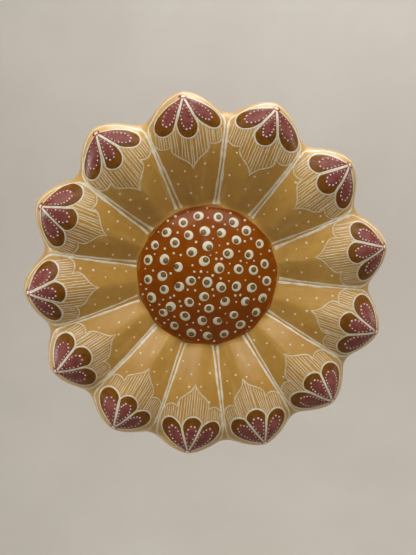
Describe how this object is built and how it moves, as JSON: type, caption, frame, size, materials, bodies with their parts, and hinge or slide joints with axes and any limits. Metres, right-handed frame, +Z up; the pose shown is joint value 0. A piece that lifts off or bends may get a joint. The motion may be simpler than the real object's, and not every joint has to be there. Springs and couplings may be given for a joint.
{
  "type": "wall flower ornament",
  "caption": "Moulded and painted clay flower with rounded petals around a domed centre, open at the back, hung flat on a wall as an ornament.",
  "frame": {"origin": "where the flower's axis meets the wall, in the middle of its open back, where it is held on the wall", "axes": "+Z up, +Y into the wall along the flower's axis, so the painted front faces -Y, and +X to the right as seen from the front"},
  "size_m": [0.2777, 0.042, 0.2777],
  "materials": {
    "painted_clay": "satin"
  },
  "bodies": {
    "root": {"clay_flower": "painted_clay"}
  },
  "joints": []
}
